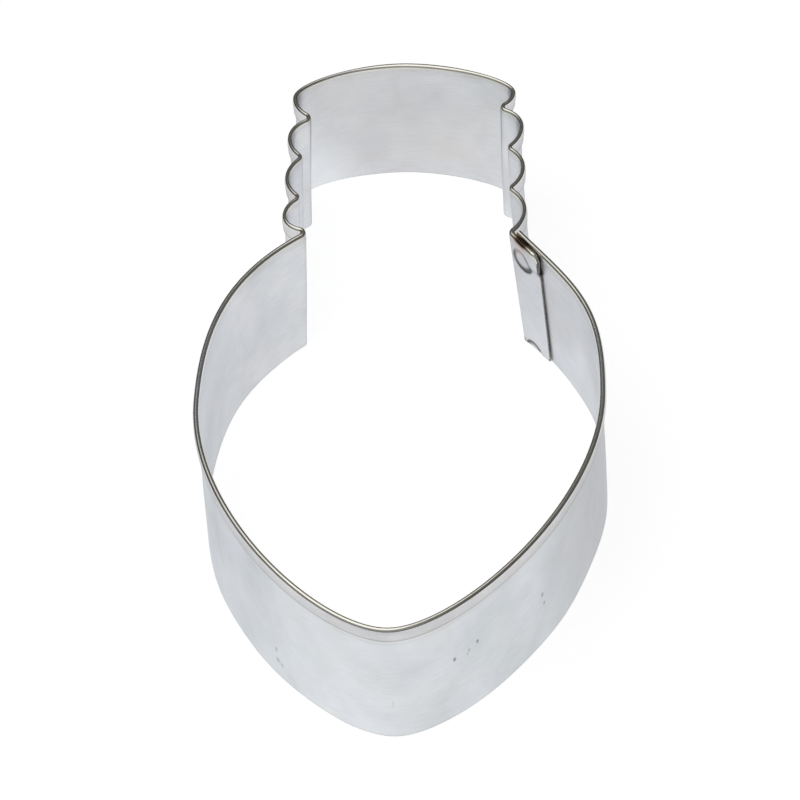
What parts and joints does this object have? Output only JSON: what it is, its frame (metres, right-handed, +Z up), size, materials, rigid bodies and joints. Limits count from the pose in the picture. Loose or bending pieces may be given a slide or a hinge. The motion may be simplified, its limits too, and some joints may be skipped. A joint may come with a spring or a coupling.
{
  "type": "cookie cutter",
  "caption": "Open tinplate band with a folded hem, bent to the outline of a screw-base festoon bulb and lap-welded at one shoulder, for cutting rolled dough.",
  "frame": {"origin": "middle of the outline's bounding box, on the plane that the cutting edge stands on", "axes": "+Y from the bulb's tip towards the domed end of the screw base, +Z up from the cutting edge to the hem, +X to the right seen from above with the screw base away from the viewer"},
  "size_m": [0.0612, 0.1234, 0.0226],
  "materials": {
    "tinplate": "bright tinplate, satin, with fine rolling streaks",
    "tinted_weld": "fused steel with brown heat tint",
    "weld": "fused steel, dull grey"
  },
  "bodies": {
    "root": {"tinplate_band": "tinplate", "upper_spot_weld": "tinted_weld", "lower_spot_weld": "weld"}
  },
  "joints": []
}
